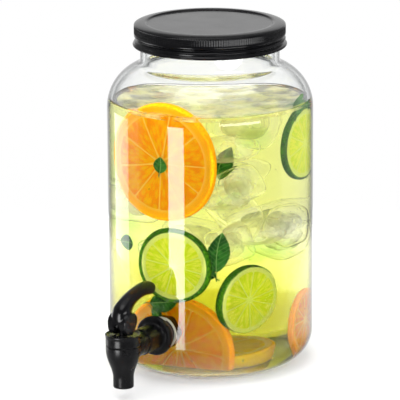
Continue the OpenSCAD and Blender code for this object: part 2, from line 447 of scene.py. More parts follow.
def enamel_material():
    """Black satin enamel on tinplate, with an orange-peel skin and fine pale dust."""
    material, tree, shader, coords = surface("black_enamel", {"IOR": 1.5, "Specular IOR Level": 0.25})
    cloud = noise(tree, coords, 35, 5, 0.6)
    dust = ramp(tree, noise(tree, coords, 900, 2), 0.68, 0.8)
    base = blended(tree, cloud, *BLACKS)
    set_input(shader, "Base Color", blended(tree, dust, base, (0.005, 0.005, 0.006)))
    set_input(shader, "Roughness", ramp(tree, cloud, 0.3, 0.7, 0.14, 0.2))
    set_input(shader, "Normal", bump(tree, noise(tree, coords, 700, 2), 0.00002, 0.25))
    return material


def glass_material():
    """Clear bottle glass, slightly wavy and grey-green in its depth, with painted shade that darkens it where
    it is seen edge on.
    """
    material, tree, shader, coords = clear_surface("jar_glass", GLASS_IOR)
    # Painted shade: the glass's colour goes dark where it is seen edge on, in place of the dark outline that
    # its surroundings give it
    painted_edge_shade = ramp(tree, add(tree, "LayerWeight", {"Blend": 0.5}).outputs["Facing"], 0.62, 0.84)
    set_input(shader, "Base Color", blended(tree, painted_edge_shade, (1, 1, 1), (0.012, 0.014, 0.013)))
    wave = add(tree, "Mapping", {"Vector": coords, "Scale": (1, 1, 0.35)}).outputs[0]
    set_input(shader, "Normal", bump(tree, noise(tree, wave, 22, 2), 0.0012, 0.12))
    absorb(tree, (0.72, 0.83, 0.8, 1), 16.0)
    return material


def drink_material():
    """Lemonade: clear, yellow-green in its depth."""
    material, tree, shader, coords = clear_surface("lemonade", DRINK_IOR)
    set_input(shader, "Normal", bump(tree, noise(tree, coords, 30, 3), 0.0006, 0.15))
    absorb(tree, (0.965, 0.98, 0.1, 1), 10.5)
    return material


def tint_material(name, colour, density):
    """A volume within the drink that only tints what is seen through it."""
    material, tree = new_material(name)
    to_output(add(tree, "BsdfTransparent"))
    absorb(tree, colour, density)
    return material


def frost_material(name, colour, scale, thickest):
    """Patches of pale haze with gaps between them, as at the heart of ice."""
    material, tree, shader, coords = surface(name, {"Base Color": colour, "Roughness": 0.6, "IOR": WET_IOR})
    patches = ramp(tree, noise(tree, coords, scale, 4), 0.36, 0.7, 0.0, thickest)
    glow = add(tree, "BsdfTranslucent", {"Color": colour})
    haze = mixed(0.5, shader, glow)
    to_output(mixed(patches, add(tree, "BsdfTransparent"), haze))
    return material


def clear_material(name, ior, wave):
    """Ice, or the air of a bubble: clear, with a slightly uneven skin."""
    material, tree, shader, coords = clear_surface(name, ior)
    set_input(shader, "Normal", bump(tree, noise(tree, coords, 60, 3), 0.001, wave))
    return material


SEGMENTS = 10


def warp(angle):
    """Uneven widths for a slice's segments, as shifts of the angle about its centre."""
    return 0.10 * np.sin(angle + 1.0) + 0.06 * np.sin(2 * angle + 2.5)


def slice_material(name, radius, flesh, membrane, pith, rind, rind_share):
    """Cut citrus: juice sacs in segments between thin membranes, round a pale core, inside pith and rind."""
    material, tree, shader, coords = surface(name, {"IOR": WET_IOR})
    axes = add(tree, "SeparateXYZ", {"Vector": coords})
    x, y = (times(tree, axes.outputs[k], 1 / MM) for k in (0, 1))
    ragged = maths(tree, "MULTIPLY_ADD", noise(tree, coords, 260, 3), 1.6, -0.8)
    r = maths(tree, "SQRT", maths(tree, "MULTIPLY_ADD", x, x, times(tree, y, y)))
    angle = maths(tree, "ARCTAN2", y, x)
    first = times(tree, maths(tree, "SINE", plus(tree, angle, 1.0)), 0.10)
    twice = maths(tree, "MULTIPLY_ADD", angle, 2.0, 2.5)
    turned = plus(tree, angle, maths(tree, "MULTIPLY_ADD", maths(tree, "SINE", twice), 0.06, first))
    cell = maths(tree, "FRACT", times(tree, turned, SEGMENTS / math.tau))
    middle = minus(tree, 0.5, maths(tree, "ABSOLUTE", minus(tree, cell, 0.5)))
    arc_mm = times(tree, times(tree, middle, r), math.tau / SEGMENTS)
    inner = minus(tree, minus(tree, arc_mm, 0.35), times(tree, ragged, 0.3))
    to_pith = plus(tree, minus(tree, radius * 0.83, r), times(tree, ragged, 0.5))
    pinch = maths(tree, "POWER", maths(tree, "MULTIPLY_ADD", middle, -2.0, 1.0), 3.0)
    core = maths(tree, "MULTIPLY_ADD", pinch, radius * 0.2, radius * 0.1)
    to_core = plus(tree, minus(tree, r, core), times(tree, ragged, 1.5))
    depth = maths(tree, "SMOOTH_MIN", maths(tree, "SMOOTH_MIN", inner, to_pith, 2.4), to_core, 1.5)
    in_flesh = ramp(tree, depth, -0.15, 0.45)

    sac_at = add(tree, "CombineXYZ", {
        "X": times(tree, r, 0.16), "Y": times(tree, turned, 9.0), "Z": ragged,
    }).outputs[0]
    sac = add(tree, "TexVoronoi", {"Vector": sac_at, "Scale": 1.0}).outputs["Distance"]
    shade = plus(tree, sac, times(tree, noise(tree, coords, 120, 3), 0.5))
    juice = blended(tree, ramp(tree, shade, 0.45, 1.05), *flesh)
    white = blended(tree, ramp(tree, r, radius * 0.8, radius * 0.9), membrane, pith)
    inside = blended(tree, in_flesh, white, juice)
    pores = noise(tree, coords, 700, 2)
    skin = blended(tree, ramp(tree, pores, 0.4, 0.65), *rind)
    edge = plus(tree, r, times(tree, ragged, 0.4))
    on_rind = ramp(tree, edge, radius * rind_share - 0.5, radius * rind_share + 0.5)
    base = blended(tree, on_rind, inside, skin)
    set_input(shader, "Base Color", base)
    set_input(shader, "Roughness", ramp(tree, in_flesh, 0, 1, 0.5, 0.22))
    height = plus(tree, times(tree, sac, in_flesh), times(tree, pores, on_rind))
    relief = bump(tree, height, 0.0006, 0.5)
    set_input(shader, "Normal", relief)
    glow = add(tree, "BsdfTranslucent", {"Color": base, "Normal": relief})
    to_output(mixed(maths(tree, "MULTIPLY_ADD", on_rind, -0.45, 0.6), shader, glow))
    return material


def leaf_material():
    """Mint: deep green, paler along its veins, with light coming through it."""
    material, tree, shader, coords = surface("mint_leaf", {"Roughness": 0.45, "IOR": WET_IOR})
    axes = add(tree, "SeparateXYZ", {"Vector": coords})
    x, y = (times(tree, axes.outputs[k], 1 / MM) for k in (0, 1))
    off = maths(tree, "ABSOLUTE", y)
    ribs = maths(tree, "FRACT", maths(tree, "MULTIPLY_ADD", off, -0.22, times(tree, x, 0.3)))
    rib = ramp(tree, maths(tree, "ABSOLUTE", minus(tree, ribs, 0.5)), 0.0, 0.1, 0.6, 0.0)
    vein = maths(tree, "MAXIMUM", rib, ramp(tree, off, 0.2, 0.6, 1.0, 0.0))
    mottle = ramp(tree, noise(tree, coords, 220, 4), 0.35, 0.65)
    blade = blended(tree, mottle, (0.015, 0.10, 0.012), (0.05, 0.24, 0.03))
    base = blended(tree, vein, blade, (0.22, 0.45, 0.12))
    set_input(shader, "Base Color", base)
    puckers = noise(tree, coords, 400, 2)
    relief = bump(tree, minus(tree, puckers, vein), 0.0006, 0.5)
    set_input(shader, "Normal", relief)
    glow = add(tree, "BsdfTranslucent", {"Color": base, "Normal": relief})
    to_output(mixed(0.45, shader, glow))
    return material


# ---------- jar ----------


def jar_section(inset, floor, steps):
    """Heel, wall, shoulder and neck fillet of the jar's form, drawn in by inset, from floor up."""
    heel = HEEL_R - inset
    centre = (JAR_R - SHOULDER_R, SHOULDER_Z)
    fillet_r = NECK_R + NECK_FILLET
    reach = SHOULDER_R + NECK_FILLET
    fillet_z = SHOULDER_Z + math.sqrt(reach**2 - (fillet_r - centre[0]) ** 2)
    turn = math.degrees(math.atan2(fillet_z - SHOULDER_Z, fillet_r - centre[0]))
    points = arc((JAR_R - HEEL_R, floor + heel), heel, -90, 0, steps)
    points += line((JAR_R - inset, floor + heel + 4), (JAR_R - inset, SHOULDER_Z - 2), 16)
    points += arc(centre, SHOULDER_R - inset, 0, turn, steps)
    points += arc((fillet_r, fillet_z), NECK_FILLET + inset, 180 + turn, 180, 6)[1:]
    return points


def neck_thread(r, z, angle):
    """Raises the glass thread, a helix, on the outside of the neck."""
    height = z - (LID_Z + 4.9)
    along = np.zeros_like(r)
    for turn in range(-1, 3):
        share = angle / math.tau + turn
        ends = smoothstep(0, 0.12, share) * smoothstep(THREAD_TURNS, THREAD_TURNS - 0.12, share)
        along = np.maximum(along, ends * smoothstep(1.45, 0.5, np.abs(height - share * PITCH)))
    on_outside = np.abs(r - NECK_R) < 0.2
    return np.where(on_outside, r + (THREAD_R - NECK_R) * along, r)


def glass_jar():
    lip = GLASS / 2
    push_up, foot = 2.8, JAR_R - HEEL_R
    under = [(r, push_up * (1 - (r / (foot - 4)) ** 2)) for r in np.linspace(0, foot - 4, 9)]
    outside = jar_section(0, 0, 24)
    neck = line((NECK_R, outside[-1][1] + 1), (NECK_R, JAR_TOP - lip), 64)
    lip_arc = arc((NECK_R - lip, JAR_TOP - lip), lip, 0, 180, 10)
    inside = jar_section(GLASS, FLOOR, 24)
    down = line((NECK_R - GLASS, JAR_TOP - lip - 1), inside[-1], 10)
    floor = [(r, FLOOR + FLOOR_CROWN * (1 - (r / foot) ** 2)) for r in np.linspace(foot, 0, 9)][1:]
    section = under + outside + neck + lip_arc + down + inside[::-1] + floor
    jar = lathe("jar", section, 256, neck_thread)
    hole = placed(rod(TAP_HOLE_R, -12, 12), Matrix.Translation((0, -JAR_R, TAP_Z)) @ LAID)
    cut(jar, [hole])
    finished(jar, "jar", glass_material(), ["glass_jar"])


# ---------- lid ----------

KNURLS = 190
KNURL_TOP = LID_TOP - 2.0
KNURL_LOW = LID_TOP - 8.4
BEAD_TOP = LID_TOP - 9.2
BEAD_LOW = LID_Z + 2.0


def lid_side(r, z, angle):
    """Presses the knurled grip and the helical thread grooves into the lid's wall."""
    on_wall = smoothstep(LID_R - 1.2, LID_R - 0.7, r) * smoothstep(HEM_R + 0.1, LID_R + 0.4, r)
    band = smoothstep(KNURL_LOW, KNURL_LOW + 0.7, z) * smoothstep(KNURL_TOP, KNURL_TOP - 0.7, z)
    ribs = 0.5 + 0.5 * np.cos(KNURLS * angle)
    groove_zone = smoothstep(BEAD_LOW, BEAD_LOW + 1.2, z) * smoothstep(BEAD_TOP, BEAD_TOP - 1.0, z)
    phase = (z - LID_Z - 2.4) / PITCH - angle / math.tau
    groove = (0.5 + 0.5 * np.cos(math.tau * phase)) ** 1.5
    return r - on_wall * (0.36 * band * ribs + 1.9 * groove_zone * groove)


def lid_shell():
    """Sunken panel, rounded rim, pressed wall and rolled hem, of one sheet."""
    curl = (HEM_R - CURL_R, LID_Z + CURL_R)
    panel, peak, drop = LID_TOP - PANEL_DROP, 48.6, 2.2
    turn = np.radians(np.linspace(90, 0, 11))
    outside = line((0, panel), (45.5, panel), 5)
    step = ((45.5, 0), (46.6, 0.02), (47.2, 0.2), (47.6, 0.6), (48.0, 1.0))
    outside += [(r, panel + rise) for r, rise in step]
    outside += [(peak + (LID_R - peak) * math.cos(a), LID_TOP - drop * (1 - math.sin(a))) for a in turn]
    wall = line((LID_R, LID_TOP - drop - 0.2), (LID_R, LID_Z + 2.3), 34)
    hem = arc(curl, CURL_R, 60, -190, 12)
    inner_wall = line((LID_R - SHEET, LID_Z + 1.5), (LID_R - SHEET, LID_TOP - drop - 0.4), 24)
    inside = [(r - SHEET * 0.5, z - SHEET * 0.9) for r, z in reversed(outside[1:-1])] + [(0, panel - SHEET)]
    section = outside + wall + hem + inner_wall + inside
    lid = lathe("lid", section, KNURLS * 4, lid_side)
    finished(lid, "lid", enamel_material(), ["lid_shell"])


def lid_liner(material):
    """Foam ring under the lid's rim, squeezed onto the jar's lip."""
    low, r_in, r_out = JAR_TOP + 0.1, 49.9, 53.4
    below = [(r_in, low + 0.15), (r_in + 0.15, low), (r_out - 0.15, low), (r_out, low + 0.15)]
    above = [(r_out - 0.1, low + 0.75), (r_out - 0.3, low + 0.85)]
    above += [(r_in + 0.2, low + 0.9), (r_in, low + 0.75)]
    ring = lathe("liner", below + above, 192, closed=True)
    finished(ring, "liner", material, ["lid_liner"])


# ---------- tap ----------


def at_barrel(obj):
    """Sets a piece made about the barrel's axis into place. Its heights are already the jar's."""
    return placed(obj, Matrix.Translation((0, -TAP_REACH, 0)))


def spigot_body(material):
    """Barrel, spout and the boss that joins them to the shank, moulded in one."""
    top = bonnet_low.z - 0.2
    spout_top = spigot_low.z + 7.6
    barrel = [(0, top), (BARREL_R - 0.5, top), (BARREL_R - 0.1, top - 0.25)]
    for t in np.linspace(0.02, 1, 24):
        bulge = (1 + math.cos(math.pi * t**1.25)) / 2
        barrel.append((SPOUT_R + (BARREL_R - SPOUT_R) * bulge, top - 0.5 + (spout_top - top + 0.5) * t))
    barrel += line((SPOUT_R, spout_top - 1), (SPOUT_R, spigot_low.z + 0.8), 5)
    barrel += arc((SPOUT_R - 0.7, spigot_low.z + 0.7), 0.7, 0, -90, 4) + [(0, spigot_low.z)]
    core = lathe("barrel", barrel, 128)
    neck = rod(10.6, top - 1, spigot_high.z, 96)
    boss, nose = rod(9.3, 2, 23.0, 96), rod(7.4, 20, 35, 96)
    parts = [at_barrel(core), at_barrel(neck), along_shank(boss, 0), along_shank(nose, 0)]
    body = melt(join("spigot_body", parts), 0.4, 4)
    bores = [rod(9, 27, 60, 96), rod(OUTLET_R, 0, 30, 96)]
    cut(body, [at_barrel(b) for b in bores] + [along_shank(rod(SHANK_BORE_R, 0, 50, 64), 0)])
    finished(body, "jar", material, ["spigot_body"])


def bonnet(material):
    """Screw cap over the valve: a shallow dish with a fine raised rim, its skirt turned in at the seam."""
    low, under, top = bonnet_low.z, 46.4, bonnet_high.z
    section = [(10.75, low), (BARREL_R - 0.5, low), (BARREL_R - 0.1, low + 0.3), (BARREL_R, low + 0.8)]
    section += line((BARREL_R, low + 1.5), (BARREL_R, top - 2.2), 5)
    section += [(BARREL_R + 0.1, top - 1.6), (BARREL_R + 0.3, top - 1.1)]
    section += arc((BARREL_R - 0.2, top - 0.5), 0.5, 0, 90, 5)
    section += [(BARREL_R - 0.7, top - 0.02), (BARREL_R - 1.1, top - 0.25), (BARREL_R - 1.5, top - 0.75)]
    section += [(BARREL_R - 2.2, top - 0.85), (8, top - 0.85)]
    section += [(4.2, top - 0.8), (3.5, top - 0.95), (3.3, top - 1.3)]
    section += [(3.3, under + 0.2), (3.6, under), (10.6, under), (10.75, under - 0.2)]
    cap = at_barrel(lathe("bonnet", section, 128, closed=True))
    finished(cap, "jar", material, ["bonnet"])


def shank_thread(r, z, angle):
    """Screw thread on the tail of the shank."""
    low = shank_high.y + TAP_REACH - 22
    zone = smoothstep(low, low + 1, z) * smoothstep(low + 21.4, low + 20.4, z)
    ridge = 0.5 + 0.5 * np.cos(math.tau * (z / 2.0 - angle / math.tau))
    return np.where(r > 7.5, r - 0.9 * zone * ridge * (r < 8.0), r)


def spigot_shank(material):
    """Collar, wide flange and threaded tail that goes through the glass."""
    near, flange, back = 23.3, 41.5, 45.7
    end = shank_high.y + TAP_REACH
    section = [(SHANK_BORE_R, near + 1), (7.45, near + 1), (7.45, near + 0.1)]
    section += [(9.5, near), (9.9, near + 0.25), (10, near + 0.7)]
    section += line((10, near + 2), (10, flange - 2.0), 8)
    section += arc((12.0, flange - 2.0), 2.0, 180, 90, 5)[1:]
    section += [(13.2, flange)] + arc((FLANGE_R - 1.5, flange + 1.5), 1.5, -90, 0, 6)
    section += [(FLANGE_R, back - 0.6), (14.7, back - 0.1), (14.2, back), (8.3, back), (SHANK_R, back + 0.4)]
    section += line((SHANK_R, back + 1.0), (SHANK_R, end - 0.5), 110)
    section += [(7.4, end), (4.9, end), (SHANK_BORE_R, end - 0.4)]
    shank = along_shank(lathe("spigot_shank", section, 96, shank_thread, closed=True), 0)
    finished(shank, "jar", material, ["spigot_shank"])


def cam_point(degrees):
    """The point of the cam under the lever that faces the bonnet once the lever has turned so far."""
    turn = math.radians(degrees)
    height, rise = PIN_Z - bonnet_high.z - 0.1, 2.2
    reach = height + rise * turn
    return (
        -reach * math.sin(turn) - rise * math.cos(turn),
        -reach * math.cos(turn) + rise * math.sin(turn),
    )


def lever_handle(material):
    """A curved thumb lever on two cheeks with a slot between them for the valve stem."""
    cheeks = [cam_point(a) for a in range(0, 91, 6)]
    cheeks += [(-9.0, 5.5), (-7.6, 8.4), (-4.5, 10.2), (0, 10.8), (4.6, 10.2)]
    cheeks += [(7.2, 7.6), (8, 4.4), (7.2, 1.4), (4.8, -2.6), (1.6, -5.4)]
    base = prism(cheeks, -7.9, 7.9)
    knots = [
        (-1.0, 2.0, 7.6, 7.0), (-1.8, 7.0, 7.5, 7.3), (-0.8, 11.4, 6.9, 6.9), (3.4, 15.4, 6.1, 5.6),
        (10.5, 18.9, 5.5, 4.8), (19.5, 21.1, 5.6, 4.4), (28.0, 21.7, 6.3, 4.6), (34.0, 21.3, 6.6, 4.9),
        (37.6, 21.0, 5.2, 4.0), (39.6, 20.9, 2.6, 2.0), (40.1, 20.9, 0.3, 0.3),
    ]
    rows = spline(knots, 8)
    path = np.column_stack([np.zeros(len(rows)), rows[:, 0], rows[:, 1]])
    arm = sweep("arm", path, np.maximum(rows[:, 2], 0.1), np.maximum(rows[:, 3], 0.1), 2.3)
    lever = melt(join("lever_handle", [base, arm]), 0.35, 10)
    slot = prism([(-20, -20), (3.4, -20), (3.4, 0.4), (-20, 0.4)], -3.2, 3.2)
    arch = placed(rod(3.2, -20, 3.4, 48), Matrix.Translation((0, -16.6, 0.4)) @ LAID)
    pin = placed(rod(1.6, -7.2, 7.2, 32), Matrix.Rotation(math.pi / 2, 4, "Y"))
    cut(lever, [slot, arch, pin])
    placed(lever, Matrix.Translation((0, -TAP_REACH, PIN_Z)))
    finished(lever, "lever", material, ["lever_handle"])


def valve_spring(material):
    """Coil spring that shortens as the stem is lifted."""
    wire, turns = 0.45, 7
    coil = (spring_high.x - spring_low.x) / 2 - wire
    low, high = spring_low.z + wire, spring_high.z - wire
    t = np.linspace(0, 1, turns * 32 + 1)
    angle = math.tau * turns * t
    centre = np.column_stack([coil * np.cos(angle), coil * np.sin(angle), low + (high - low) * t])
    out = centre * (1, 1, 0) / coil
    round_the_wire = np.linspace(0, math.tau, 10, endpoint=False)
    points = [c + wire * (math.cos(b) * o + np.array([0, 0, math.sin(b)])) for c, o in zip(centre, out)
              for b in round_the_wire]
    ends = [tuple(range(10)), tuple(range(len(points) - 10, len(points)))]
    spring = at_barrel(build("valve_spring", points, grid_faces(len(centre), 10) + ends))
    finished(spring, "jar", material, ["valve_spring"])
    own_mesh(spring)


# ---------- drink, ice and fruit ----------


def facing(azimuth, distance, z, lean=0.0, yaw=0.0, spin=0.0):
    """A place for a flat piece near the glass, its face outwards.

    Azimuth is in degrees from the camera, positive to its right. Distance is from the jar's axis.
    Lean tips its top outwards, and yaw turns its face to the right.
    """
    turn = VIEW_AZIMUTH + math.radians(azimuth)
    at = Matrix.Translation(Vector((math.sin(turn) * distance, -math.cos(turn) * distance, z)) * MM)
    upright = Matrix.Rotation(turn, 4, "Z") @ LAID
    tip = Matrix.Rotation(math.radians(lean), 4, "X") @ Matrix.Rotation(math.radians(yaw), 4, "Y")
    return at @ upright @ tip @ Matrix.Rotation(math.radians(spin), 4, "Z")


def citrus_slice(name, radius, thickness, matrix, material, cut_below=None):
    """A round slice with plump segments and a bulging rind. cut_below takes off its part under -cut_below."""
    half = thickness / 2
    shares = np.concatenate([[0], np.linspace(0.06, 0.93, 34), np.linspace(0.95, 0.99, 4)])
    face = [(radius * t, half - 0.5 * max(0, (t - 0.93) / 0.07) ** 2) for t in shares]
    around = np.linspace(1.3, -1.3, 9)
    rim = [(radius * (1 + 0.012 * math.cos(a)), (half - 0.7) * math.sin(a)) for a in around]
    section = face + rim + [(r, -z) for r, z in reversed(face)]
    disc = lathe(name, section, 200)
    mesh = disc.data
    co = np.empty(len(mesh.vertices) * 3)
    mesh.vertices.foreach_get("co", co)
    co = co.reshape(-1, 3) / MM
    r, angle = np.hypot(co[:, 0], co[:, 1]), np.arctan2(co[:, 1], co[:, 0])
    cell = np.mod((angle + warp(angle)) * SEGMENTS / math.tau, 1)
    arc_mm = (0.5 - np.abs(cell - 0.5)) * math.tau / SEGMENTS * r
    plump = np.clip(np.minimum(np.minimum(arc_mm, radius * 0.83 - r), r - radius * 0.1) / 2.2, 0, 1)
    co[:, 2] += np.sign(co[:, 2]) * 0.45 * (plump * (2 - plump) - 0.6) * (r < radius * 0.93)
    uneven = 1 + 0.008 * np.sin(3 * angle + radius) + 0.005 * np.sin(5 * angle + 2 * radius)
    co[:, :2] *= uneven[:, None]
    mesh.vertices.foreach_set("co", (co * MM).ravel())
    mesh.update()
    if cut_below is not None:
        below = [(-90, -20), (-cut_below, -20), (-cut_below, 20), (-90, 20)]
        cut(disc, [prism(below, -60, 60)])
    disc.matrix_world = matrix
    finished(disc, "jar", material)


def mint_leaf(name, length, width, matrix, material, curl=0.25, fold=0.25):
    """A toothed leaf, folded a little along its midrib and curled along its length."""
    rows, columns = 41, 17
    s = np.linspace(0, 1, rows)[:, None]
    t = np.linspace(-1, 1, columns)[None, :]
    outline = np.sin(math.pi * s**0.85) ** 0.85
    teeth = 1 + 0.09 * (np.mod(s * 11, 1) - 0.5) * (np.abs(t) > 0.99)
    half = width / 2 * outline * teeth
    x = s * length + 0 * t
    y = half * t
    puckers = 0.35 * np.sin(math.tau * (s * 7 - np.abs(t) * 0.9)) * (1 - t**2) * outline
    bend = fold * np.abs(y) + curl * length * (s - 0.4) ** 2 * 2 + puckers
    thickness = 0.16 * (1 - t**4) * np.sqrt(outline)
    top = np.stack([x, y, bend + thickness], -1).reshape(-1, 3)
    under = np.stack([x, y, bend - thickness], -1).reshape(-1, 3)
    faces = grid_faces(rows, columns, close_columns=False)
    faces += [tuple(i + rows * columns for i in reversed(face)) for face in faces]
    leaf = build(name, np.vstack([top, under]), faces)
    u = np.linspace(0, 1, 9)
    lift = 0.32 * curl * length * (1 + 0.6 * (1 - u))
    stalk = np.column_stack([0.4 * np.sin(3 * u), -length * 0.22 * (1 - u), lift])
    girth = np.full(9, 0.45)
    swap_xy = Matrix(((0, 1, 0, 0), (1, 0, 0, 0), (0, 0, 1, 0), (0, 0, 0, 1)))
    leaf = join(name, [leaf, placed(sweep("stalk", stalk, girth, girth, sides=10), swap_xy)])
    leaf.data.shade_smooth()
    leaf.matrix_world = matrix
    finished(leaf, "jar", material)


def pebble(size, seed, rounding=5.0, steps=40):
    """A melted, slightly lopsided block about its own centre."""
    luck = random.Random(seed)
    spans = ((-2, 2), (-2, 2), (-2, 2), (0, 6))
    waves = [[luck.uniform(low, high) for low, high in spans] for _ in range(4)]
    points = []
    for i in range(steps // 2 + 1):
        up = math.pi * i / (steps // 2)
        for j in range(steps):
            a = math.tau * j / steps
            d = np.array([math.sin(up) * math.cos(a), math.sin(up) * math.sin(a), math.cos(up)])
            reach = (np.abs(d) ** rounding).sum() ** (-1 / rounding)
            swell = sum(math.sin(2 * (p * d[0] + q * d[1] + w * d[2]) + o) for p, q, w, o in waves)
            points.append(d * reach * (1 + 0.03 * swell) * np.array(size) / 2)
    return points, grid_faces(steps // 2 + 1, steps)


def ice_places(luck, wanted=13):
    """Centre, size and turn of blocks that float clear of the fruit and of each other."""
    found = []
    for _ in range(4000):
        size = [luck.uniform(24, 33) for _ in range(3)]
        reach = 0.62 * max(size)
        a, r = luck.uniform(0, math.tau), 56 * math.sqrt(luck.random())
        z = luck.uniform(86, DRINK_LEVEL - 19)
        centre = Vector((r * math.cos(a), r * math.sin(a), z))
        towards = centre.x * math.sin(VIEW_AZIMUTH) - centre.y * math.cos(VIEW_AZIMUTH)
        if r + reach > 72 or towards + reach > 50:
            continue
        if all((centre - c).length > reach + 0.62 * max(s) for c, s, _ in found):
            turn = Matrix.Rotation(luck.uniform(0, 6), 3, "Z")
            turn = turn @ Matrix.Rotation(luck.uniform(-0.5, 0.5), 3, "X")
            found.append((centre, size, turn))
        if len(found) == wanted:
            break
    return found


def drink_and_ice():
    """The drink fills the jar and laps into the glass by a hair, so no film of air is left between them."""
    lap = 0.1
    wall = jar_section(GLASS - lap, FLOOR - lap, 24)
    wall = [p for p in wall if p[1] < DRINK_LEVEL + 0.2]
    edge = wall[-1][0]
    meniscus = [(edge - back, DRINK_LEVEL + rise) for back, rise in ((0.15, 1.2), (0.7, 0.6), (1.6, 0.2))]
    foot = JAR_R - HEEL_R
    floor = [(r, FLOOR - lap + FLOOR_CROWN * (1 - (r / foot) ** 2)) for r in np.linspace(0, foot, 9)][:-1]
    calm = [(r, DRINK_LEVEL) for r in np.linspace(edge - 3, 0, 60)]
    drink = lathe("lemonade", floor + wall + meniscus + calm, 256)
    luck = random.Random(7)
    swell = [(luck.uniform(0, 6), luck.uniform(0.08, 0.3), luck.uniform(0, 6)) for _ in range(9)]
    for v in drink.data.vertices:
        x, y, z = v.co / MM
        fade = min(1, (edge - 2 - math.hypot(x, y)) / 8)
        if z > DRINK_LEVEL - 0.01 and fade > 0:
            ways = [(k, x * math.cos(a) + y * math.sin(a), p) for a, k, p in swell]
            wave = sum(math.sin(k * along + p) / (1 + 6 * k) for k, along, p in ways)
            v.co.z += 0.3 * fade * wave * MM
    parts = [drink]
    ice = clear_material("ice", ICE_IOR, 0.3)
    frost = frost_material("frost", (0.97, 1.0, 0.93, 1), 55, 0.6)
    for k, (centre, size, turn) in enumerate(ice_places(random.Random(21))):
        points, faces = pebble(size, k)
        points = [turn @ Vector(p) for p in points]
        block_of_ice = build(f"ice_{k:02d}", [centre + p for p in points], faces)
        finished(block_of_ice, "jar", ice)
        core, faces = pebble([0.7 * side for side in size], k + 50, 3.0)
        finished(build(f"frost_{k:02d}", [centre + turn @ Vector(p) for p in core], faces), "jar", frost)
        hollow = build("hollow", [centre + p * 0.992 for p in points], faces)
        hollow.data.flip_normals()
        parts.append(hollow)
    drink = join("lemonade", parts)
    drink.data.shade_smooth()
    finished(drink, "jar", drink_material())


def bottom_tint():
    """Layers that tint the drink darker towards the bottom, with uneven tops."""
    deep_tint = tint_material("bottom_tint", (0.82, 0.8, 0.1, 1), 9.0)
    for k, top in enumerate((34, 52, 72)):
        inset = GLASS + 0.5 + 0.3 * k
        wall = [p for p in jar_section(inset, FLOOR + inset - GLASS, 16) if p[1] < top - 8]
        edge = wall[-1][0]
        section = [(0, FLOOR + inset - GLASS + 1.3), *wall]
        shares = (0.97, 0.9, 0.8, 0.65, 0.5, 0.3, 0.15, 0)
        section += [(edge * share, top + 5 * (1 - share * share)) for share in shares]
        layer = lathe(f"syrup_{k}", section, 96)
        for v in layer.data.vertices:
            x, y, z = v.co / MM
            a, lift = math.atan2(y, x), float(smoothstep(top - 10, top, z)) * math.hypot(x, y) / 60
            v.co.z += lift * (12 * math.sin(a + 0.4 + 2 * k) + 6 * math.sin(2 * a + 2 + k)) * MM
        finished(layer, "jar", deep_tint)


def clouds():
    """Pulp under the drink's surface, paler drink round the ice, and swirls of herb green."""
    haze = frost_material("juice_haze", (1.0, 0.97, 0.45, 1), 60, 0.75)
    below = [(0, 198.5), (40, 198.8), (66, 199.4), (70, 200.6)]
    above = [(69, 202), (60, 202.4), (30, 202.2), (0, 202.2)]
    finished(lathe("juice_haze", below + above, 96), "jar", haze)
    cloud = frost_material("cold_cloud", (0.99, 1.0, 0.9, 1), 40, 0.5)
    puffs = (
        (facing(14, 44, 176), (46, 20, 34)), (facing(8, 40, 138), (40, 18, 40)),
        (facing(-62, 52, 128), (30, 14, 44)), (facing(40, 46, 110), (44, 18, 40)),
    )
    for k, (place, size) in enumerate(puffs):
        puff = build(f"cold_cloud_{k}", *pebble(size, 70 + k, 2.2))
        puff.matrix_world = place
        finished(puff, "jar", cloud)
    green = tint_material("herb_swirl", (0.6, 0.93, 0.4, 1), 20.0)
    luck = random.Random(3)
    for k in range(11):
        size = (luck.uniform(14, 34), luck.uniform(8, 20), luck.uniform(12, 30))
        a, r, z = luck.uniform(0, math.tau), 58 * math.sqrt(luck.random()), luck.uniform(85, 185)
        points, faces = pebble(size, 90 + k, 2.0)
        at = Vector((r * math.cos(a), r * math.sin(a), z))
        turn = Matrix.Rotation(luck.uniform(0, 6), 3, "Z") @ Matrix.Rotation(luck.uniform(0, 6), 3, "X")
        points = [at + turn @ Vector(p) for p in points]
        finished(build(f"herb_swirl_{k:02d}", points, faces), "jar", green)


def bubbles():
    """Small air bubbles, most of them low on the glass."""
    luck = random.Random(5)
    parts = []
    for _ in range(70):
        size = luck.uniform(0.5, 1.5) * (1.6 if luck.random() < 0.1 else 1)
        a, z = luck.uniform(0, math.tau), 12 + 150 * luck.random() ** 2
        r = 72.5 if z > 28 else 52 + 0.8 * (z - 10)
        points, faces = pebble((size, size, size), 0, 2.0, 12)
        at = Vector((r * math.cos(a), r * math.sin(a), z))
        parts.append(build("bubble", [at + Vector(p) for p in points], faces))
    group = join("bubbles", parts)
    group.data.shade_smooth()
    finished(group, "jar", clear_material("bubble_air", BUBBLE_IOR, 0.0))


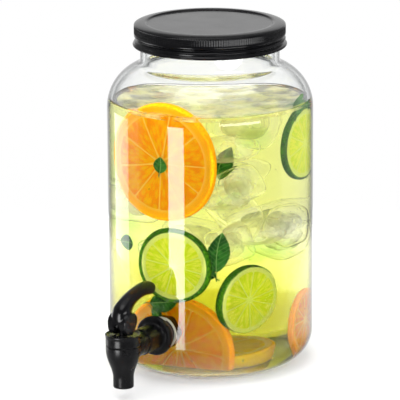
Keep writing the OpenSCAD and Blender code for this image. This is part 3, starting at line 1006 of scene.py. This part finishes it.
def fruit():
    orange = dict(
        flesh=((0.94, 0.58, 0.004), (0.94, 0.38, 0.001)), membrane=(0.98, 0.72, 0.1),
        pith=(0.98, 0.58, 0.012), rind=((1.0, 0.45, 0.003), (1.0, 0.33, 0.002)), rind_share=0.955,
    )
    lime = dict(
        flesh=((0.98, 1.0, 0.1), (0.78, 0.9, 0.02)), membrane=(0.93, 1.0, 0.22),
        pith=(0.93, 1.0, 0.26), rind=((0.05, 0.17, 0.003), (0.014, 0.075, 0.002)), rind_share=0.95,
    )
    big = slice_material("orange_cut", 43.5, **orange)
    middling = slice_material("orange_cut_middling", 40, **orange)
    small = slice_material("orange_cut_small", 24, **orange)
    lemon = dict(
        flesh=((1.0, 0.86, 0.1), (0.95, 0.7, 0.03)), membrane=(1.0, 0.95, 0.4),
        pith=(1.0, 0.9, 0.3), rind=((1.0, 0.72, 0.02), (0.9, 0.55, 0.01)), rind_share=0.955,
    )
    yellow = slice_material("lemon_cut", 34, **lemon)
    green = slice_material("lime_cut", 27, **lime)
    citrus_slice("orange_high", 43.5, 6, facing(-33, 60, 166.5, spin=8), big)
    citrus_slice("orange_low", 40, 6, facing(-26, 47, 22, lean=6), middling, cut_below=12)
    citrus_slice("orange_right", 24, 6, facing(78, 62, 33.5, lean=4, spin=70), small)
    citrus_slice("lemon_floor", 34, 6, facing(20, 12, 13, lean=-87), yellow)
    citrus_slice("lime_left", 28.5, 5, facing(-22.5, 68.5, 90, spin=30), green)
    citrus_slice("lime_middle", 26, 8, facing(23.5, 62, 62.5, lean=6, yaw=20, spin=50), green)
    citrus_slice("lime_right", 27, 7, facing(73, 66, 173, yaw=-10, spin=12), green)

    mint = leaf_material()
    mint_leaf("mint_middle", 31, 19, facing(2.5, 66, 86, yaw=25, spin=84), mint)
    mint_leaf("mint_middle_side", 19, 14, facing(3, 66, 82, yaw=-15, spin=150), mint)
    mint_leaf("mint_core", 13, 11, facing(-33, 64.5, 159, spin=85), mint)
    mint_leaf("mint_tap", 24, 15, facing(-42, 63, 57, yaw=10, spin=10), mint)
    mint_leaf("mint_tap_low", 18, 13, facing(-40, 63, 53, yaw=-20, spin=-30), mint)
    mint_leaf("mint_left", 24, 12, facing(-72, 62, 98, spin=8), mint)
    mint_leaf("mint_back", 26, 18, facing(20, 8, 146, yaw=30, spin=70), mint)
    mint_leaf("mint_right", 22, 14, facing(62, 66, 199, lean=20, spin=10), mint)
    mint_leaf("mint_right_low", 18, 12, facing(62, 67, 197, lean=10, spin=60), mint)


# ---------- studio ----------

# Height on the jar's axis, in metres, at which the camera and the overhead light aim
AIM_HEIGHT = 0.13


def studio_floor():
    """Matt and pale, with painted light that makes it paler under the jar, against the jar's shadow. It fades
    out into the world, and is dimmer where it is mirrored.
    """
    span = 4000
    corners = [(-span, -span, 0), (span, -span, 0), (span, span, 0), (-span, span, 0)]
    floor = build("floor", corners, [(0, 1, 2, 3)])
    material, tree, shader, coords = surface("studio_floor", {"Roughness": 0.5, "Specular IOR Level": 0.0})
    from_axis = add(tree, "VectorMath", {0: coords}, operation="LENGTH").outputs["Value"]
    pale = blended(tree, noise(tree, coords, 3), (0.29, 0.29, 0.29), (0.305, 0.305, 0.305))
    # Painted light: the floor is made paler under the jar, to lighten the shadow that the jar casts there
    base = blended(tree, ramp(tree, from_axis, 0.045, 0.075), (0.92, 0.92, 0.92), pale)
    set_input(shader, "Base Color", base)
    middle = [0.1 * share for share in AWAY]
    from_middle = add(tree, "VectorMath", {0: coords, 1: middle}, operation="DISTANCE").outputs["Value"]
    behind = add(tree, "VectorMath", {0: coords, 1: AWAY}, operation="DOT_PRODUCT").outputs["Value"]
    dimmed = ramp(tree, behind, -0.05, 0.05, 0.7, 0.0)
    mirrored = maths(tree, "GREATER_THAN", add(tree, "LightPath").outputs["Glossy Depth"], 0.5)
    in_reflections = minus(tree, 1.0, times(tree, mirrored, dimmed))
    cover = times(tree, ramp(tree, from_middle, 0.26, 0.38, 1.0, 0.0), in_reflections)
    to_output(mixed(cover, add(tree, "BsdfTransparent"), shader))
    floor.data.materials.append(material)


def studio_world():
    """White on all sides. Its strength depends on the direction, and on how the light got there."""
    world = bpy.data.worlds.new("studio")
    bpy.context.scene.world = world
    world.use_nodes = True
    tree = world.node_tree
    tree.nodes.clear()
    way = add(tree, "TexCoord").outputs["Generated"]
    behind = add(tree, "VectorMath", {0: way, 1: AWAY}, operation="DOT_PRODUCT").outputs["Value"]
    rise = add(tree, "SeparateXYZ", {"Vector": way}).outputs["Z"]
    height = maths(tree, "ABSOLUTE", rise)
    level_part = maths(tree, "SQRT", minus(tree, 1.0001, times(tree, height, height)))
    bearing = maths(tree, "DIVIDE", behind, level_part)

    # What reflections see: a bright backdrop, low behind the jar, and dim sides
    sides = ramp(tree, bearing, -0.25, 0.1, 0.05, 0.32)
    low_down = ramp(tree, rise, 0.42, 0.6, 1.0, 0.12)
    bright = times(tree, ramp(tree, bearing, 0.8, 0.96, 0.0, 0.95), low_down)
    backdrop = maths(tree, "MAXIMUM", bright, sides)

    # What is seen through the glass: bright before and behind, dimmer at the sides
    through = ramp(tree, maths(tree, "ABSOLUTE", bearing), 0.2, 0.6, 0.65, 1.12)
    path = add(tree, "LightPath").outputs
    straight = maths(tree, "LESS_THAN", path["Glossy Depth"], 0.5)
    onward = maths(tree, "MAXIMUM", straight, maths(tree, "GREATER_THAN", bearing, 0.0))
    clear_way = times(tree, path["Is Transmission Ray"], onward)
    around = add(tree, "Mix", {0: clear_way, 2: backdrop, 3: through}).outputs[0]

    # Overhead, what the camera sees past the object, and what lights it
    steep = ramp(tree, height, 0.8, 0.93, 0.0, 0.9)
    scattered = maths(tree, "GREATER_THAN", path["Diffuse Depth"], 0.5)
    room = maths(tree, "MAXIMUM", path["Is Camera Ray"], times(tree, scattered, 5.2))
    strength = maths(tree, "MAXIMUM", maths(tree, "MAXIMUM", around, steep), room)
    sky = add(tree, "Background", {"Color": (1, 1, 1, 1), "Strength": strength})
    tree.links.new(sky.outputs[0], add(tree, "OutputWorld").inputs["Surface"])
    world.cycles.sampling_method = "NONE"


def softbox(name, azimuth, height, distance, size, power, only_gloss=False):
    """A soft light that faces the jar. Azimuth is in degrees from the camera, positive to its right."""
    data = bpy.data.lights.new(name, "AREA")
    data.shape = "RECTANGLE"
    data.size, data.size_y = size
    data.energy = power
    turn = VIEW_AZIMUTH + math.radians(azimuth)
    light = link(bpy.data.objects.new(name, data))
    light.location = (math.sin(turn) * distance, -math.cos(turn) * distance, height)
    aim = Vector((0, 0, height if only_gloss else AIM_HEIGHT)) - light.location
    light.rotation_euler = aim.to_track_quat("-Z", "Y").to_euler()
    light.visible_camera = False
    light.visible_diffuse = light.visible_transmission = not only_gloss


def camera():
    """A long lens, a little above the jar, at the photo's angle and with its slight roll."""
    data = bpy.data.cameras.new("camera")
    data.sensor_width, data.lens = 36, 309.8
    data.clip_start, data.clip_end = 0.1, 50
    data.shift_x, data.shift_y = -0.0262, -0.0217
    elevation, distance, roll = math.radians(14.5), 2.62, math.radians(-0.25)
    back = Vector((
        math.sin(VIEW_AZIMUTH) * math.cos(elevation),
        -math.cos(VIEW_AZIMUTH) * math.cos(elevation),
        math.sin(elevation),
    ))
    view = link(bpy.data.objects.new("camera", data))
    view.location = Vector((0, 0, AIM_HEIGHT)) + back * distance
    aimed = (-back).to_track_quat("-Z", "Y").to_matrix().to_4x4()
    view.matrix_world = Matrix.Translation(view.location) @ aimed @ Matrix.Rotation(roll, 4, "Z")
    bpy.context.scene.camera = view


scene = bpy.context.scene
scene.view_settings.view_transform = "Standard"
scene.cycles.transmission_bounces = 24
scene.cycles.max_bounces = 24
scene.cycles.transparent_max_bounces = 48

plastic = plastic_material("black_plastic", *BLACKS, (0.2, 0.28), 0.4)
lever_plastic = plastic_material("lever_plastic", *BLACKS, (0.16, 0.22), 0.2)
white_plastic = plastic_material("white_plastic", (0.6, 0.6, 0.58), (0.7, 0.7, 0.66), (0.35, 0.5), 0.5)
rubber = rubber_material()
steel = steel_material()
foam = liner_material()

glass_jar()
lid_shell()
lid_liner(foam)
spigot_body(plastic)
bonnet(plastic)
spigot_shank(plastic)
lever_handle(lever_plastic)
valve_spring(steel)
drink_and_ice()
bottom_tint()
clouds()
bubbles()
fruit()
studio_floor()
studio_world()
softbox("key_strip", -34.7, 0.035, 0.374, (0.11, 0.21), 0.85, only_gloss=True)
softbox("rear_left_strip", -109, 0.035, 0.36, (0.18, 0.21), 0.4, only_gloss=True)
softbox("lid_strip", 30, 0.18, 0.38, (0.3, 0.035), 0.34, only_gloss=True)
softbox("overhead", -30, 1.8, 0.7, (1.2, 1.2), 8)
camera()

for name, material in {
    "lock_nut": plastic, "valve_stem": plastic, "slip_washer": white_plastic,
    "outer_washer": rubber, "inner_washer": rubber, "shank_o_ring": rubber, "bonnet_gasket": rubber,
    "stem_o_ring": rubber, "seat_cup": rubber,
    "retaining_ring": steel, "spring_washer": steel, "lever_pin": steel,
}.items():
    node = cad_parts[name]
    node.data.materials.clear()
    node.data.materials.append(material)
